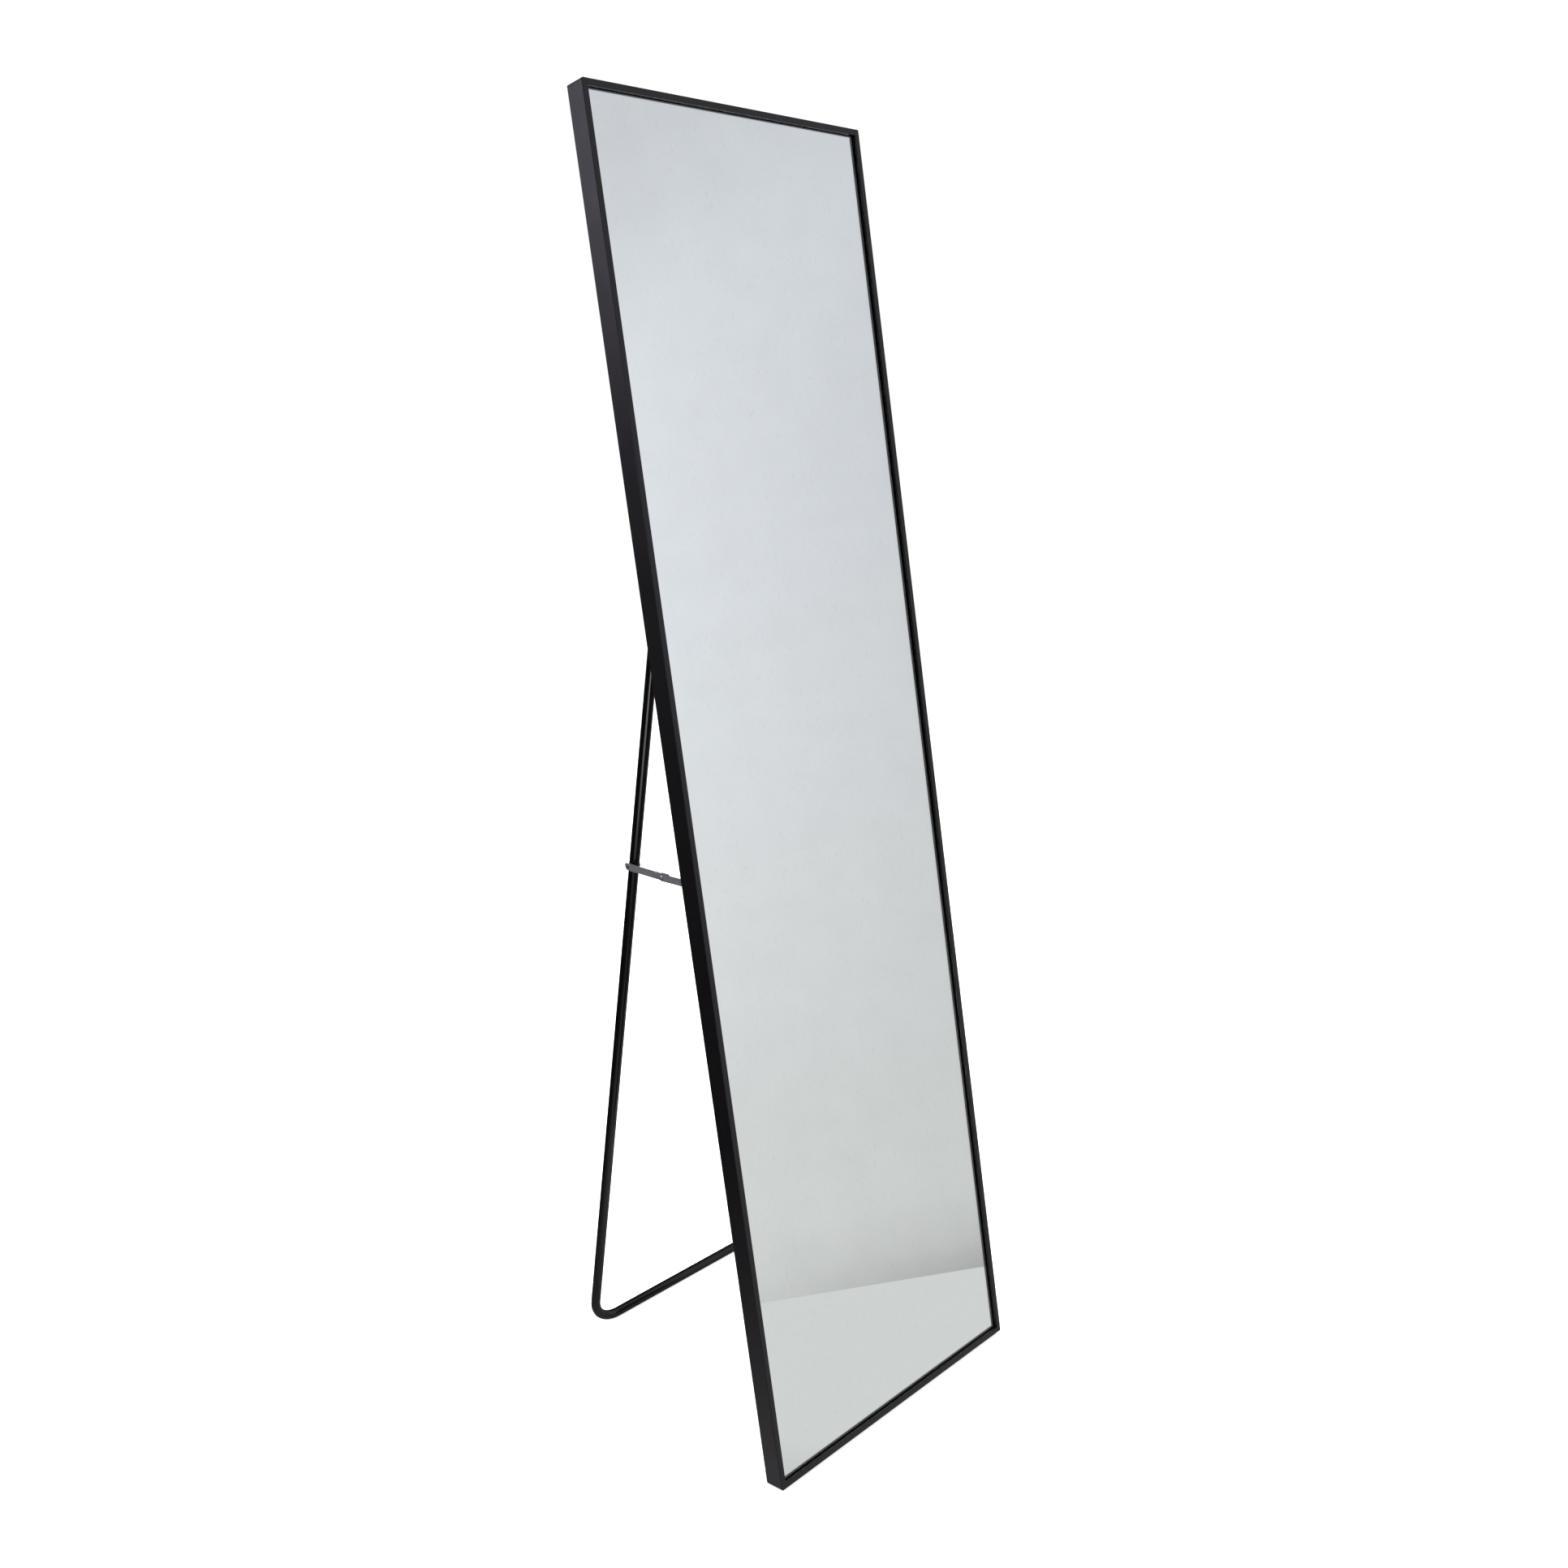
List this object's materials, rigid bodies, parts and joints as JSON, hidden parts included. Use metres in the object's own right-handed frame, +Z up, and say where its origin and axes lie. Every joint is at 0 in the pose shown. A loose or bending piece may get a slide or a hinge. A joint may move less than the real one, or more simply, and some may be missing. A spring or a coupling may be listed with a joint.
{
  "type": "leaning floor mirror",
  "caption": "Tall floor mirror in a slim black metal frame that leans back on a hinged U-shaped tube leg, locked open by a small folding stay at one side.",
  "frame": {"origin": "on the floor, in the middle of the object's footprint: half way across its width, and half way from the foot of the frame to the foot of the leg", "axes": "+Z up; the glass faces -Y and leans back towards +Y; +X is to the right for a person looking into the mirror"},
  "size_m": [0.4, 0.3919, 1.4803],
  "materials": {
    "frame_black": "matte black powder coat on extruded aluminium",
    "tube_black": "gloss black coated steel tube",
    "bracket_black": "satin black coated pressed steel",
    "screw_black": "black zinc plated steel",
    "stay_steel": "dull zinc plated strip steel",
    "mirror_glass": "silvered float glass",
    "backing_board": "brown hardboard, smooth face out",
    "foam": "thin white packing foam",
    "key_aluminium": "die-cast, unfinished",
    "nylon_black": "moulded nylon",
    "pad_rubber": "matt rubber"
  },
  "bodies": {
    "frame": {"frame_stile_left": "frame_black", "frame_stile_right": "frame_black", "frame_rail_top": "frame_black", "frame_rail_bottom": "frame_black", "corner_key_bottom_left": "key_aluminium", "corner_key_bottom_right": "key_aluminium", "corner_key_top_right": "key_aluminium", "corner_key_top_left": "key_aluminium", "corner_screw_bottom_left_1": "screw_black", "corner_screw_bottom_left_2": "screw_black", "corner_screw_bottom_right_1": "screw_black", "corner_screw_bottom_right_2": "screw_black", "corner_screw_top_right_1": "screw_black", "corner_screw_top_right_2": "screw_black", "corner_screw_top_left_1": "screw_black", "corner_screw_top_left_2": "screw_black", "mirror_glass": "mirror_glass", "foam_liner": "foam", "backing_board": "backing_board", "floor_pad_left": "pad_rubber", "floor_pad_right": "pad_rubber", "hinge_bracket_left": "bracket_black", "hinge_bracket_right": "bracket_black", "hinge_bracket_screw_left_1": "screw_black", "hinge_bracket_screw_left_2": "screw_black", "hinge_bracket_screw_right_1": "screw_black", "hinge_bracket_screw_right_2": "screw_black", "hinge_bolt_left": "screw_black", "hinge_bolt_right": "screw_black", "hinge_washer_left_outer": "nylon_black", "hinge_washer_left_inner": "nylon_black", "hinge_washer_right_outer": "nylon_black", "hinge_washer_right_inner": "nylon_black", "hinge_nut_left": "screw_black", "hinge_nut_right": "screw_black", "stay_bracket": "bracket_black", "stay_bracket_screw_1": "screw_black", "stay_bracket_screw_2": "screw_black", "stay_bracket_rivet": "stay_steel"},
    "leg": {"leg_tube": "tube_black", "leg_end_cap_left": "nylon_black", "leg_end_cap_right": "nylon_black", "stay_spacer": "nylon_black", "stay_pivot_rivet": "screw_black"},
    "stay_frame_arm": {"stay_frame_link": "stay_steel", "stay_elbow_rivet": "stay_steel"},
    "stay_leg_arm": {"stay_leg_link": "stay_steel", "stay_pivot_head": "screw_black"}
  },
  "joints": [
    {"name": "leg_fold", "type": "hinge", "parent": "frame", "child": "leg", "pos_m": [0, 0.0218, 0.98971], "axis": [-1, 0, 0], "range_deg": [0, 20.29]},
    {"name": "stay_frame_pivot", "type": "hinge", "parent": "frame", "child": "stay_frame_arm", "pos_m": [-0.17505, -0.04039, 0.67044], "axis": [1, 0, 0], "range_deg": [0, 67.56]},
    {"name": "stay_elbow", "type": "hinge", "parent": "stay_frame_arm", "child": "stay_leg_arm", "pos_m": [-0.174, 0.01649, 0.66677], "axis": [-1, 0, 0], "range_deg": [0, 178.05]}
  ],
  "couplings": [
    {"joint": "stay_frame_pivot", "follows": "leg_fold", "ratio": 3.3296},
    {"joint": "stay_elbow", "follows": "leg_fold", "ratio": 8.7749}
  ]
}
